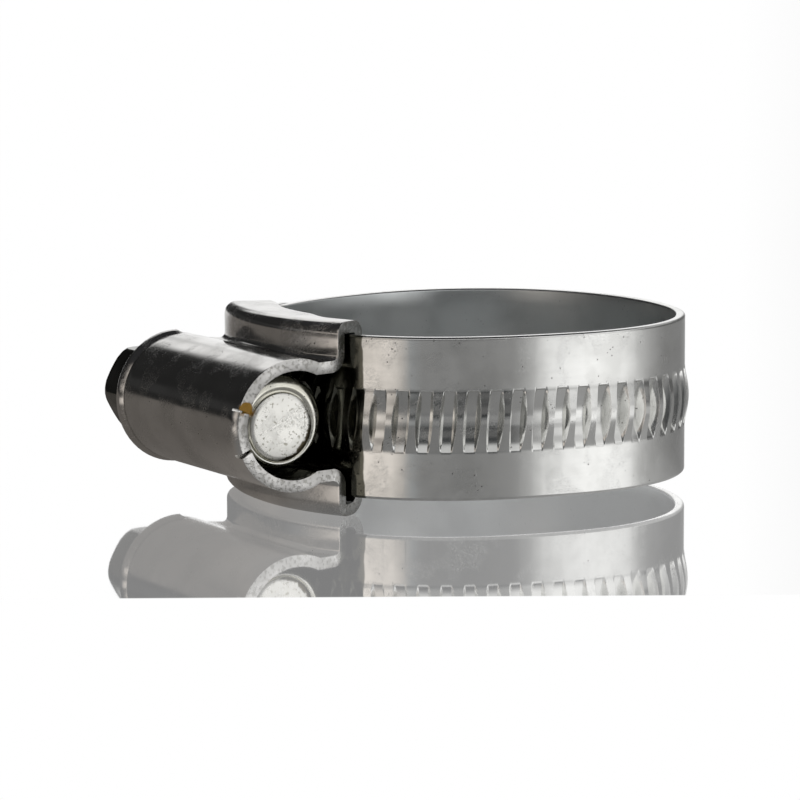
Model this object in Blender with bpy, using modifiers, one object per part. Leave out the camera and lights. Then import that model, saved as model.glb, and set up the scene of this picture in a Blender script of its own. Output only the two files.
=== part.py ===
"""A worm drive hose clamp, lying on its edge as it would on a bench.

Three pieces: a steel band with a thread pressed into its outer face, a housing folded from one
sheet, and a worm screw with a slotted hexagon head. The screw turns in the housing, and its
thread draws the free end of the band through, which closes the loop on the hose.

Axes: X runs along the screw, from its head at -X to its tail end at +X. The housing is on the -Y
side of the loop. Z is the hose's axis. The origin is under the middle of the whole clamp.
Round the loop, angles count from the housing and grow towards the screw's tail end.
"""
import math

import bmesh
import bpy
import numpy as np
from mathutils import Matrix, Vector

MM = 0.001

# Band: one strip, which starts under the housing, runs round the loop and comes back over itself
BAND_WIDTH = 13.0 * MM
BAND_THICKNESS = 0.8 * MM
BAND_EDGE_ROUND = 0.2 * MM
LAYER_GAP = 0.1 * MM              # between the band's free end and its fixed end
FIXED_END_ANGLE = math.radians(2)
TAIL_ANGLE = math.radians(60)     # how far the free end reaches past the housing
TAIL_CORNER = 2.6 * MM
LIFT_START = math.radians(110)    # the band climbs onto its second layer between these angles
LIFT_END = math.radians(20)

# The free loop in plan: nearly round, drawn out a little towards the housing
LOOP_RADIUS = 16.47 * MM
LOOP_OVAL = -0.38 * MM
LOOP_PEAR = 0.32 * MM
LOOP_LEAN = 0.19 * MM
SADDLE_REACH = 18.3 * MM          # from the loop's centre to the middle of the band's fixed end
SADDLE_RADIUS = 19.0 * MM
SADDLE_ANGLE = math.radians(22)   # the band follows the housing's curve up to here
FREE_ANGLE = math.radians(84)     # and runs free from here

# Thread pressed into the band
THREAD_PITCH = 25.4 / 14 * MM
POCKET_LENGTH = 4.8 * MM          # across the band
POCKET_FLOOR = 0.72 * MM          # along the band
POCKET_DEPTH = 0.52 * MM
POCKET_SCOOP = 8.5 * MM           # radius of the pocket's curved floor
POCKET_FLANK = math.radians(26)
POCKET_MARGIN = 0.15 * MM         # from the pockets' ends to a line that keeps the faces even
THREAD_END_ANGLE = math.radians(165)
THREAD_TIP_MARGIN = 4.0 * MM      # plain band left at the tip

# Drive: the housing, the screw and the thread share one height on the band
DRIVE_DROP = 0.2 * MM             # how far they sit below the band's middle
THREAD_ENGAGEMENT = 0.42 * MM     # how deep the worm's crest enters the pockets

# Worm screw
WORM_MARGIN = 2.55 * MM           # from the worm's crest to the band's edge, in height
WORM_RIDGE_HEIGHT = 0.9 * MM
WORM_CREST_WIDTH = 0.50 * MM
WORM_ROOT_WIDTH = 1.05 * MM
WORM_END_CHAMFER = 0.36 * MM      # its tail end is this much smaller than the crest
WORM_END_LENGTH = 1.0 * MM
WORM_END_GROOVE = 0.3 * MM        # width and depth of the ring groove in the end face
WORM_END_LIP = 0.64 * MM          # from the end's edge to the groove's inner edge
WORM_END_INSET = 2.22 * MM        # how far the end face lies inside the barrel's rim
BEARING_LENGTH = 2.0 * MM         # plain part that turns in the head end of the barrel
COLLAR_LIP = 0.22 * MM            # how far the collar covers the barrel's rim
COLLAR_THICKNESS = 0.7 * MM
COLLAR_GAP = 0.1 * MM             # between the collar and the barrel's rim
HEAD_ACROSS_FLATS = 7.0 * MM
HEAD_LENGTH = 5.0 * MM
HEAD_CHAMFER = 0.45 * MM
SLOT_WIDTH = 1.1 * MM
SLOT_DEPTH = 1.5 * MM
SLOT_TILT = math.radians(25)
RUNNING_GAP = 0.1 * MM            # round the bearing

# Housing: one sheet, a barrel over the screw with feet folded round both edges of the band
SHEET = 0.95 * MM
BORE_GAP = 0.38 * MM              # between the worm's crest and the barrel
BARREL_TAIL_END = 9.2 * MM        # from the housing's middle to each rim
BARREL_HEAD_END = 11.84 * MM
BEAD_HEIGHT = 0.22 * MM           # the bead round the head end's rim
BEAD_WIDTH = 0.9 * MM
NECK_PINCH = 0.03 * MM            # how much closer the necks' middles are than the bore's wall
FOOT_RADIUS = 0.95 * MM
OUTER_FOLD_RADIUS = 0.72 * MM
UPPER_FOLD_RADIUS = 0.88 * MM     # the folds' inner corners, over and under the band
LOWER_FOLD_RADIUS = 1.25 * MM
LEG_TAIL_END = 8.7 * MM           # from the housing's middle to the ends of the outer legs
LEG_HEAD_END = 9.4 * MM
OUTER_LEG_GAP = 0.7 * MM          # between the band's free end and the outer legs
LEG_TUCK = 0.3 * MM               # how much closer the outer legs are at the tail end
INNER_LEG_GAP = 0.15 * MM         # between the band's fixed end and the inner legs
INNER_STEP_START = math.radians(4)  # past the fixed end the inner legs step out to the free end
INNER_STEP_END = math.radians(15)
EDGE_GAP = 0.33 * MM              # between the band's edges and the folds
INNER_LEG_LENGTH = 2.2 * MM
TAB_HALF_ANGLE = math.radians(20.5)
TAB_TILT = math.radians(-3.5)
TAB_LENGTH = 1.3 * MM
TAB_PRESS = 0.38 * MM             # how far the crimped tab is pushed in behind the worm
SLIT_WIDTH = 0.34 * MM

# Fineness of the faceted forms
BAND_STATIONS = 128
LOOP_SAMPLES = 2400
WORM_STEPS = 24
ROUND_STEPS = 40
HOUSING_STATIONS = 13

# Sizes that follow
WORM_CREST_RADIUS = BAND_WIDTH / 2 - WORM_MARGIN
WORM_ROOT_RADIUS = WORM_CREST_RADIUS - WORM_RIDGE_HEIGHT
WORM_END_RADIUS = WORM_CREST_RADIUS - WORM_END_CHAMFER
WORM_END_DISC = WORM_END_RADIUS - WORM_END_LIP
BARREL_BORE = WORM_CREST_RADIUS + BORE_GAP
COLLAR_RADIUS = BARREL_BORE + COLLAR_LIP
NECK_HALF = BARREL_BORE - NECK_PINCH
LAYER_PITCH = BAND_THICKNESS + LAYER_GAP
TONGUE_REACH = SADDLE_REACH + LAYER_PITCH
SCREW_REACH = TONGUE_REACH + BAND_THICKNESS / 2 - THREAD_ENGAGEMENT + WORM_CREST_RADIUS
BARREL_MID = BARREL_BORE + SHEET / 2
OUTER_LEG_OFFSET = LAYER_PITCH + BAND_THICKNESS / 2 + OUTER_LEG_GAP + SHEET / 2
INNER_LEG_OFFSET = -(BAND_THICKNESS / 2 + INNER_LEG_GAP + SHEET / 2)
FOLD_HEIGHT = BAND_WIDTH / 2 + EDGE_GAP + SHEET / 2
WORM_END = BARREL_TAIL_END - WORM_END_INSET
HEAD_REACH = BARREL_HEAD_END + COLLAR_GAP + COLLAR_THICKNESS + HEAD_LENGTH
THREAD_LEAD_SLOPE = THREAD_PITCH / (2 * math.pi * WORM_CREST_RADIUS)


def smooth_step(value):
    """0 below 0, 1 above 1, and a smooth climb between."""
    value = np.clip(value, 0, 1)
    return value * value * (3 - 2 * value)


def loop_radius(angle):
    """Distance from the loop's centre to the middle of the band's first layer."""
    window = (1 - np.cos(angle)) / 2
    free = (LOOP_RADIUS + LOOP_OVAL * np.cos(2 * angle) + LOOP_PEAR * np.cos(3 * angle)
            + window * LOOP_LEAN * np.sin(2 * angle))
    rise = SADDLE_REACH - SADDLE_RADIUS
    saddle = rise * np.cos(angle) + np.sqrt(SADDLE_RADIUS ** 2 - (rise * np.sin(angle)) ** 2)
    turned = np.abs((angle + math.pi) % (2 * math.pi) - math.pi)
    share = smooth_step((turned - SADDLE_ANGLE) / (FREE_ANGLE - SADDLE_ANGLE))
    return saddle + (free - saddle) * share


def band_path():
    """Points, outward normals and lengths along the middle of the whole strip."""
    angle = np.linspace(FIXED_END_ANGLE, -2 * math.pi - TAIL_ANGLE, LOOP_SAMPLES)
    lift = smooth_step((LIFT_START - 2 * math.pi - angle) / (LIFT_START - LIFT_END))
    radius = loop_radius(angle) + LAYER_PITCH * lift
    points = np.stack([radius * np.sin(angle), -radius * np.cos(angle)], axis=1)
    steps = np.gradient(points, axis=0)
    tangents = steps / np.linalg.norm(steps, axis=1)[:, None]
    normals = np.stack([-tangents[:, 1], tangents[:, 0]], axis=1)
    lengths = np.concatenate([[0], np.cumsum(np.linalg.norm(np.diff(points, axis=0), axis=1))])
    return angle, points, normals, lengths


ANGLES, PATH, NORMALS, LENGTHS = band_path()


def length_at(angle):
    """Length along the strip at an angle, counted down from the fixed end."""
    return float(np.interp(-angle, -ANGLES, LENGTHS))


def saddle_point(offset, turn):
    """A point on the housing's curve, offset outward from the first layer's middle."""
    radius = SADDLE_RADIUS + offset
    return Vector((radius * math.sin(turn),
                   SADDLE_RADIUS - SADDLE_REACH - radius * math.cos(turn)))


def loop_centre():
    """Place of the loop's centre, which puts the origin under the middle of the clamp."""
    outline = PATH + NORMALS * BAND_THICKNESS / 2
    low_x = min(outline[:, 0].min(), -HEAD_REACH)
    low_y = -(SCREW_REACH + BARREL_BORE + SHEET + BEAD_HEIGHT)
    low_z = -(FOLD_HEIGHT + SHEET / 2 + DRIVE_DROP)
    return Vector((-(low_x + outline[:, 0].max()) / 2,
                   -(low_y + outline[:, 1].max()) / 2,
                   -low_z))


def clear_scene():
    for item in list(bpy.data.objects):
        bpy.data.objects.remove(item, do_unlink=True)


def make_collection(name):
    collection = bpy.data.collections.new(name)
    bpy.context.scene.collection.children.link(collection)
    return collection


def make_material(name, color, roughness):
    material = bpy.data.materials.new(name)
    material.use_nodes = True
    surface = material.node_tree.nodes["Principled BSDF"]
    surface.inputs["Base Color"].default_value = (*color, 1)
    surface.inputs["Roughness"].default_value = roughness
    surface.inputs["Metallic"].default_value = 1.0
    return material


def make_object(name, mesh, collection, material=None):
    item = bpy.data.objects.new(name, mesh)
    collection.objects.link(item)
    if material:
        mesh.materials.append(material)
    return item


def mesh_from(bm, name, recalculate=True):
    if recalculate:
        bmesh.ops.recalc_face_normals(bm, faces=bm.faces)
    mesh = bpy.data.meshes.new(name)
    bm.to_mesh(mesh)
    bm.free()
    return mesh


def hide_cutter(item):
    item.hide_render = True
    item.display_type = "WIRE"


def add_boolean(item, operation, other, solver="EXACT"):
    modifier = item.modifiers.new(operation.title(), "BOOLEAN")
    modifier.operation = operation
    modifier.object = other
    modifier.solver = solver
    return modifier


def baked_mesh(item):
    """The object's mesh with its modifiers applied, as it stands in its own space."""
    graph = bpy.context.evaluated_depsgraph_get()
    return bpy.data.meshes.new_from_object(item.evaluated_get(graph))


def loft(bm, rings, closed_ring):
    """Faces between neighbouring rings of points; a closed ring also gets caps at both ends."""
    rows = [[bm.verts.new(point) for point in ring] for ring in rings]
    count = len(rows[0])
    for near, far in zip(rows, rows[1:]):
        for i in range(count if closed_ring else count - 1):
            j = (i + 1) % count
            bm.faces.new((near[i], near[j], far[j], far[i]))
    if closed_ring:
        bm.faces.new(rows[0])
        bm.faces.new(rows[-1])
    return rows


# Band

def flat_strip():
    """The strip before it is bent: X along it, Y through it, Z across it."""
    length = LENGTHS[-1]
    bm = bmesh.new()
    size = Matrix.Diagonal((length, BAND_THICKNESS, BAND_WIDTH, 1))
    bmesh.ops.create_cube(bm, size=1, matrix=Matrix.Translation((length / 2, 0, 0)) @ size)
    tip = [edge for edge in bm.edges
           if all(v.co.x > length / 2 for v in edge.verts)
           and abs(edge.verts[0].co.z - edge.verts[1].co.z) < BAND_THICKNESS / 2]
    bmesh.ops.bevel(bm, geom=tip, offset=TAIL_CORNER, segments=4, profile=0.5, affect="EDGES")
    rims = [edge for edge in bm.edges
            if abs(edge.verts[0].co.y - edge.verts[1].co.y) < BAND_THICKNESS / 2]
    bmesh.ops.bevel(bm, geom=rims, offset=BAND_EDGE_ROUND, segments=2, profile=0.5,
                    affect="EDGES", clamp_overlap=True)
    cuts = [((length * i / BAND_STATIONS, 0, 0), (1, 0, 0)) for i in range(1, BAND_STATIONS)]
    for side in (-1, 1):
        height = side * (POCKET_LENGTH / 2 + POCKET_MARGIN) - DRIVE_DROP
        cuts.append(((0, 0, height), (0, 0, 1)))
    for place, direction in cuts:
        everything = bm.verts[:] + bm.edges[:] + bm.faces[:]
        bmesh.ops.bisect_plane(bm, geom=everything, plane_co=place, plane_no=direction)
    return mesh_from(bm, "strip")


def pocket_rings(middle):
    """Sections of one thread pocket's cutter, from one end of it to the other."""
    surface = BAND_THICKNESS / 2
    above = BAND_THICKNESS / 4
    rings = []
    for z in np.linspace(-POCKET_LENGTH / 2, POCKET_LENGTH / 2, 5):
        depth = POCKET_DEPTH - z * z / (2 * POCKET_SCOOP)
        floor = POCKET_FLOOR / 2
        mouth = floor + (depth + above) * math.tan(POCKET_FLANK)
        x = middle - z * THREAD_LEAD_SLOPE
        height = z - DRIVE_DROP
        rings.append([(x - floor, surface - depth, height), (x + floor, surface - depth, height),
                      (x + mouth, surface + above, height), (x - mouth, surface + above, height)])
    return rings


def thread_cutter(collection):
    """Every pocket, in step with the worm at the middle of the housing."""
    centre = length_at(-2 * math.pi)
    start = length_at(THREAD_END_ANGLE - 2 * math.pi)
    first = math.ceil((start - centre) / THREAD_PITCH)
    last = math.floor((LENGTHS[-1] - THREAD_TIP_MARGIN - centre) / THREAD_PITCH)
    bm = bmesh.new()
    for i in range(first, last + 1):
        loft(bm, pocket_rings(centre + i * THREAD_PITCH), True)
    return make_object("thread_cutter", mesh_from(bm, "thread_cutter"), collection)


def bend_strip(mesh):
    """Wraps the flat strip round the loop."""
    bm = bmesh.new()
    bm.from_mesh(mesh)
    bmesh.ops.triangulate(bm, faces=bm.faces)
    for vert in bm.verts:
        along = vert.co.x
        x = np.interp(along, LENGTHS, PATH[:, 0])
        y = np.interp(along, LENGTHS, PATH[:, 1])
        out_x = np.interp(along, LENGTHS, NORMALS[:, 0])
        out_y = np.interp(along, LENGTHS, NORMALS[:, 1])
        vert.co = (x + vert.co.y * out_x, y + vert.co.y * out_y, vert.co.z)
    return mesh_from(bm, "band", recalculate=False)


def make_band(parts, cutters, material):
    strip = make_object("strip", flat_strip(), cutters)
    pockets = thread_cutter(cutters)
    add_boolean(strip, "DIFFERENCE", pockets)
    band = make_object("band", bend_strip(baked_mesh(strip)), parts, material)
    for item in (strip, pockets):
        bpy.data.objects.remove(item, do_unlink=True)
    return band


# Housing

def barrel_path(leg_reach):
    """The sheet's middle from the barrel's crown down the neck to the foot's end, upper half.

    Points are (distance from the loop's centre, height). The foot's arc meets the leg, which
    stands at leg_reach, and the arc either touches the barrel or hangs on a straight neck."""
    foot_reach = leg_reach + FOOT_RADIUS
    drop = SCREW_REACH - foot_reach
    touching = math.sqrt(max((BARREL_MID + FOOT_RADIUS) ** 2 - drop ** 2, 0))
    foot_height = max(touching, NECK_HALF + FOOT_RADIUS)
    if touching >= NECK_HALF + FOOT_RADIUS:
        wrap = math.atan2(foot_height, -drop)
        foot_turn = wrap
    else:
        wrap = math.pi - math.asin(NECK_HALF / BARREL_MID)
        foot_turn = math.pi / 2
    arch = [(SCREW_REACH + BARREL_MID * math.cos(a), BARREL_MID * math.sin(a))
            for a in np.linspace(0, wrap, 40)]
    foot = [(foot_reach - FOOT_RADIUS * math.cos(a), foot_height - FOOT_RADIUS * math.sin(a))
            for a in np.linspace(foot_turn, 0, 16)]
    return arch + foot


def resampled(points, count):
    """The same line with evenly spaced points."""
    points = np.array(points)
    lengths = np.concatenate([[0], np.cumsum(np.linalg.norm(np.diff(points, axis=0), axis=1))])
    even = np.linspace(0, lengths[-1], count)
    return np.stack([np.interp(even, lengths, points[:, i]) for i in range(2)], axis=1)


def tab_press(angle, place):
    """How far the sheet is pressed in at an angle round the barrel, near the tail end's rim."""
    if abs(angle - TAB_TILT) > TAB_HALF_ANGLE:
        return 0.0
    return TAB_PRESS * float(smooth_step((place - BARREL_TAIL_END + TAB_LENGTH) / TAB_LENGTH))


def bead_rise(place):
    """How far the bead lifts the sheet near the head end's rim."""
    inward = (place + BARREL_HEAD_END) / BEAD_WIDTH
    return BEAD_HEIGHT * math.cos(inward * math.pi / 2) if inward < 1 else 0.0


def leg_points(along):
    """Places in plan of the outer and the inner leg, at a distance along the housing."""
    turn = math.asin(along / (SADDLE_RADIUS + OUTER_LEG_OFFSET))
    tuck = LEG_TUCK * (max(along, 0) / LEG_TAIL_END) ** 2
    step = smooth_step((turn - INNER_STEP_START) / (INNER_STEP_END - INNER_STEP_START))
    inner_offset = INNER_LEG_OFFSET + LAYER_PITCH * float(step)
    return saddle_point(OUTER_LEG_OFFSET - tuck, turn), saddle_point(inner_offset, turn)


def half_section(share, side):
    """Points of the sheet's middle at one station, from the crown to the inner leg's end.

    share runs from 0 at the head end to 1 at the tail end; side is 1 above, -1 below."""
    place = -BARREL_HEAD_END + share * (BARREL_HEAD_END + BARREL_TAIL_END)
    outer, inner = leg_points(-LEG_HEAD_END + share * (LEG_HEAD_END + LEG_TAIL_END))
    inward = (inner - outer).normalized()
    leg_reach = -outer.y
    points = []
    for reach, height in resampled(barrel_path(leg_reach), 20):
        lower = (SCREW_REACH - reach) / (SCREW_REACH - leg_reach)
        x = place + (outer.x - place) * float(smooth_step(lower))
        points.append((x, -reach, height))
    foot_end = points[-1][2]
    fold_start = FOLD_HEIGHT - OUTER_FOLD_RADIUS
    inner_radius = UPPER_FOLD_RADIUS if side > 0 else LOWER_FOLD_RADIUS
    for height in np.linspace(foot_end, fold_start, 4)[1:]:
        points.append((outer.x, outer.y, height))
    for corner, radius, turns in (
            (outer + inward * OUTER_FOLD_RADIUS, OUTER_FOLD_RADIUS, np.linspace(-90, 0, 5)[1:]),
            (inner - inward * inner_radius, inner_radius, np.linspace(0, 90, 6))):
        for turn in np.radians(turns):
            spot = corner + inward * radius * math.sin(turn)
            points.append((spot.x, spot.y, FOLD_HEIGHT - radius + radius * math.cos(turn)))
    points.append((inner.x, inner.y, FOLD_HEIGHT + SHEET / 2 - INNER_LEG_LENGTH))
    return points, place


def shaped_half(share, side):
    """One half of a station's section with the bead and the pressed tab."""
    points, place = half_section(share, side)
    shaped = []
    for x, y, z in points:
        reach = -y - SCREW_REACH
        angle = math.atan2(side * z, reach)
        radius = math.hypot(reach, z)
        if abs(angle) < math.pi / 2:
            radius += bead_rise(place) - tab_press(angle, place)
            y = -SCREW_REACH - radius * math.cos(angle)
            z = radius * abs(math.sin(angle))
        shaped.append((x, y, side * z - DRIVE_DROP))
    return shaped


def station_shares():
    """Places of the sections: even along the barrel, closer at both rims."""
    length = BARREL_HEAD_END + BARREL_TAIL_END
    near_head = [BEAD_WIDTH * i / 4 / length for i in range(5)]
    near_tail = [1 - TAB_LENGTH * i / 4 / length for i in range(4, -1, -1)]
    middle = np.linspace(near_head[-1], near_tail[0], HOUSING_STATIONS)[1:-1]
    return [*near_head, *middle, *near_tail]


def slit_cutter(collection):
    """Two slits that free the tab at the tail end's rim."""
    bm = bmesh.new()
    for side in (-1, 1):
        size = Matrix.Diagonal((2 * TAB_LENGTH, 3 * SHEET, SLIT_WIDTH, 1))
        reach = Matrix.Translation((BARREL_TAIL_END, -BARREL_MID, 0))
        turn = Matrix.Rotation(-(TAB_TILT + side * TAB_HALF_ANGLE), 4, "X")
        seat = Matrix.Translation((0, -SCREW_REACH, -DRIVE_DROP))
        bmesh.ops.create_cube(bm, size=1, matrix=seat @ turn @ reach @ size)
    cutter = make_object("slit_cutter", mesh_from(bm, "slit_cutter"), collection)
    hide_cutter(cutter)
    return cutter


def make_housing(parts, cutters, material):
    bm = bmesh.new()
    rings = []
    for share in station_shares():
        upper = shaped_half(share, 1)
        lower = shaped_half(share, -1)
        rings.append(lower[::-1] + upper[1:])
    loft(bm, rings, False)
    housing = make_object("housing", mesh_from(bm, "housing"), parts, material)
    solidify = housing.modifiers.new("Sheet", "SOLIDIFY")
    solidify.thickness = SHEET
    solidify.offset = 0
    solidify.use_even_offset = True
    slits = add_boolean(housing, "DIFFERENCE", slit_cutter(cutters))
    slits.name = "Slits"
    return housing


# Worm screw, built along X through its own origin at the middle of the housing

def turned(name, outline, collection):
    """A solid of revolution about X from (place, radius) points, tail end first."""
    bm = bmesh.new()
    verts = [bm.verts.new((x, 0, radius)) for x, radius in outline]
    for a, b in zip(verts, verts[1:]):
        bm.edges.new((a, b))
    mesh = bpy.data.meshes.new(name)
    bm.to_mesh(mesh)
    bm.free()
    item = make_object(name, mesh, collection)
    screw = item.modifiers.new("Turn", "SCREW")
    screw.axis = "X"
    screw.steps = ROUND_STEPS
    screw.render_steps = ROUND_STEPS
    screw.use_merge_vertices = True
    screw.merge_threshold = 0.000001
    screw.use_normal_calculate = True
    screw.use_normal_flip = True
    return item


def shank_outline():
    """The screw's turned form without its thread and its hexagon."""
    groove = WORM_END_GROOVE
    inner = -BARREL_HEAD_END + BEARING_LENGTH
    bearing = BARREL_BORE - RUNNING_GAP
    collar = -BARREL_HEAD_END - COLLAR_GAP
    chamfer = WORM_CREST_RADIUS - WORM_END_RADIUS
    return [(WORM_END, 0), (WORM_END, WORM_END_DISC),
            (WORM_END - groove, WORM_END_DISC + groove / 4),
            (WORM_END - groove, WORM_END_DISC + groove * 3 / 4),
            (WORM_END, WORM_END_DISC + groove), (WORM_END, WORM_END_RADIUS),
            (WORM_END - WORM_END_LENGTH, WORM_END_RADIUS),
            (WORM_END - WORM_END_LENGTH - chamfer, WORM_ROOT_RADIUS),
            (inner + chamfer, WORM_ROOT_RADIUS), (inner, bearing),
            (collar, bearing), (collar, COLLAR_RADIUS),
            (collar - COLLAR_THICKNESS, COLLAR_RADIUS), (collar - COLLAR_THICKNESS, 0)]


def end_chamfer_outline():
    """A blank that trims the thread's tail end to a chamfer and touches nothing else."""
    head = -BARREL_HEAD_END
    return [(WORM_END, 0), (WORM_END, WORM_END_RADIUS),
            (WORM_END - WORM_END_LENGTH, WORM_END_RADIUS + WORM_END_LENGTH),
            (head, WORM_END_RADIUS + WORM_END_LENGTH), (head, 0)]


def thread_ridge(collection):
    """The worm's ridge as a helix, from inside the bearing to the tail end.

    It is in step with the band: at rest a crest faces the loop at the housing's middle."""
    depth = WORM_CREST_RADIUS - WORM_ROOT_RADIUS
    low = WORM_ROOT_RADIUS - depth / 2
    tip = WORM_CREST_WIDTH / 2
    base = tip + (WORM_ROOT_WIDTH - WORM_CREST_WIDTH) * 3 / 4
    first = -int((BARREL_HEAD_END - BEARING_LENGTH / 2) / THREAD_PITCH * WORM_STEPS)
    last = int((WORM_END - WORM_END_LENGTH) / THREAD_PITCH * WORM_STEPS)
    rings = []
    for i in range(first, last + 1):
        angle = 2 * math.pi * i / WORM_STEPS
        x = THREAD_PITCH * i / WORM_STEPS
        y = math.cos(angle)
        z = math.sin(angle)
        rings.append([(x - base, low * y, low * z),
                      (x - tip, WORM_CREST_RADIUS * y, WORM_CREST_RADIUS * z),
                      (x + tip, WORM_CREST_RADIUS * y, WORM_CREST_RADIUS * z),
                      (x + base, low * y, low * z)])
    bm = bmesh.new()
    loft(bm, rings, True)
    return make_object("thread_ridge", mesh_from(bm, "thread_ridge"), collection)


def hexagon_head(collection):
    """The hexagon with its chamfered outer end, and a little length inside the collar."""
    end = -HEAD_REACH
    inside = end + HEAD_LENGTH + COLLAR_THICKNESS / 2
    corner = HEAD_ACROSS_FLATS / math.sqrt(3)
    blank = turned("head_blank", [(inside, 0), (inside, corner),
                                  (end + HEAD_CHAMFER, corner),
                                  (end, HEAD_ACROSS_FLATS / 2 - HEAD_CHAMFER / 2), (end, 0)],
                   collection)
    bm = bmesh.new()
    turn = Matrix.Rotation(math.pi / 2, 4, "Y")
    bmesh.ops.create_cone(bm, cap_ends=True, segments=6, radius1=corner, radius2=corner,
                          depth=4 * HEAD_LENGTH, matrix=Matrix.Translation((end, 0, 0)) @ turn)
    prism = make_object("head_prism", mesh_from(bm, "head_prism"), collection)
    add_boolean(blank, "INTERSECT", prism)
    return blank, [blank, prism], end


def make_screw(parts, cutters, material):
    shank = turned("worm_screw", shank_outline(), cutters)
    chamfer = turned("end_chamfer", end_chamfer_outline(), cutters)
    ridge = thread_ridge(cutters)
    add_boolean(ridge, "INTERSECT", chamfer, "MANIFOLD")
    head, helpers, end = hexagon_head(cutters)
    bm = bmesh.new()
    size = Matrix.Diagonal((2 * SLOT_DEPTH, SLOT_WIDTH, 4 * HEAD_ACROSS_FLATS, 1))
    tilt = Matrix.Rotation(SLOT_TILT, 4, "X")
    bmesh.ops.create_cube(bm, size=1, matrix=Matrix.Translation((end, 0, 0)) @ tilt @ size)
    slot = make_object("slot_cutter", mesh_from(bm, "slot_cutter"), cutters)
    add_boolean(shank, "UNION", ridge, "MANIFOLD")
    add_boolean(shank, "UNION", head)
    add_boolean(shank, "DIFFERENCE", slot)
    mesh = baked_mesh(shank)
    mesh.name = "worm_screw"
    for item in (shank, chamfer, ridge, slot, *helpers):
        bpy.data.objects.remove(item, do_unlink=True)
    return make_object("worm_screw", mesh, parts, material)


def main():
    clear_scene()
    parts = make_collection("hose_clamp")
    cutters = make_collection("cutters")
    bright = make_material("bright_zinc", (0.72, 0.72, 0.70), 0.22)
    dark = make_material("worn_zinc", (0.42, 0.41, 0.40), 0.28)
    yellow = make_material("passivated_zinc", (0.80, 0.80, 0.72), 0.2)

    root = bpy.data.objects.new("hose_clamp_root", None)
    parts.objects.link(root)
    root.location = loop_centre()

    band = make_band(parts, cutters, bright)
    housing = make_housing(parts, cutters, dark)
    screw = make_screw(parts, cutters, yellow)
    screw.location = (0, -SCREW_REACH, -DRIVE_DROP)
    for item in (band, housing, screw):
        item.parent = root
        item.data.shade_smooth()
        item.data.set_sharp_from_angle(angle=math.radians(32))
    bpy.context.view_layer.update()
    for item in cutters.objects:
        item.matrix_world = root.matrix_world @ item.matrix_world


main()
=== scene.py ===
# %% [markdown]
# # A worm drive hose clamp
# A hose clamp is three pieces of plated steel. A band with a thread pressed into it goes round the
# hose, a folded housing holds its ends together, and a worm screw in the housing draws it tight.
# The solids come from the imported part. This script gives each of them a finer skin and a finish
# that shows the pressing, rolling and handling that the real pieces went through.

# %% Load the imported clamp
import math

import bmesh
import bpy
import numpy as np
from mathutils import Euler, Matrix, Vector


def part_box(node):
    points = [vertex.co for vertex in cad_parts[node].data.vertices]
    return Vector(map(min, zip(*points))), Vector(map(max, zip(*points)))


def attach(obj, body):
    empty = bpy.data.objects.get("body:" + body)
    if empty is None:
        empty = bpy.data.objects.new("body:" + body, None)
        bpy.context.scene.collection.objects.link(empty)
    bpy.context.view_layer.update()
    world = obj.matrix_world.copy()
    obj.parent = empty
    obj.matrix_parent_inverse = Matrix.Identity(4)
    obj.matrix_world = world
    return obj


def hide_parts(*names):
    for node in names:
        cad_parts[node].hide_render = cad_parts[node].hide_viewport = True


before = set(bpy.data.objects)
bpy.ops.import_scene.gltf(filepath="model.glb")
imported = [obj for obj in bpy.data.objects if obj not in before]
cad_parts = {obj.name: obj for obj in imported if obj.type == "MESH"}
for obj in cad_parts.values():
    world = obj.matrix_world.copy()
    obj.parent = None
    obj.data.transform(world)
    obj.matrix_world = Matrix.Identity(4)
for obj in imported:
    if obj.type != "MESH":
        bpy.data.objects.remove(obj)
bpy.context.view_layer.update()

MM = 0.001
print("nodes:", sorted(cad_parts))

# %% [markdown]
# ## The sizes
# The band lies in a loop that is nearly round. Seen from above, its distance from the loop's centre
# is a circle with a few small waves on it, and beside the housing it follows the housing's own
# curve. These are the same values as the solid's, so the skins fit the solids. A free curve drawn
# by hand could follow the loop as well, but a formula can be read, and it stays smooth.

# %% Sizes of the band
BAND_WIDTH = 13.0 * MM
BAND_THICKNESS = 0.8 * MM
LAYER_PITCH = 0.9 * MM              # from one layer of the band to the next, where it laps
LOOP_RADIUS, LOOP_OVAL, LOOP_PEAR, LOOP_LEAN = 16.47 * MM, -0.38 * MM, 0.32 * MM, 0.19 * MM
SADDLE_REACH, SADDLE_RADIUS = 18.3 * MM, 19.0 * MM
SADDLE_ANGLE, FREE_ANGLE = math.radians(22), math.radians(84)
LIFT_START, LIFT_END = math.radians(110), math.radians(20)
FIXED_END_ANGLE, TAIL_ANGLE = math.radians(2), math.radians(60)
DRIVE_DROP = 0.2 * MM               # the thread and the screw lie a little below the band's middle


# %% Path of the band
PATH_STEPS = 2400


def smooth_step(value):
    value = np.clip(value, 0, 1)
    return value * value * (3 - 2 * value)


def loop_radius(angle):
    """Distance of the band's inner layer from the loop's centre; angle 0 is under the housing."""
    window = (1 - np.cos(angle)) / 2
    free = (LOOP_RADIUS + LOOP_OVAL * np.cos(2 * angle) + LOOP_PEAR * np.cos(3 * angle)
            + window * LOOP_LEAN * np.sin(2 * angle))
    rise = SADDLE_REACH - SADDLE_RADIUS
    saddle = rise * np.cos(angle) + np.sqrt(SADDLE_RADIUS ** 2 - (rise * np.sin(angle)) ** 2)
    turned = np.abs((angle + math.pi) % (2 * math.pi) - math.pi)
    share = smooth_step((turned - SADDLE_ANGLE) / (FREE_ANGLE - SADDLE_ANGLE))
    return saddle + (free - saddle) * share


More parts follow.
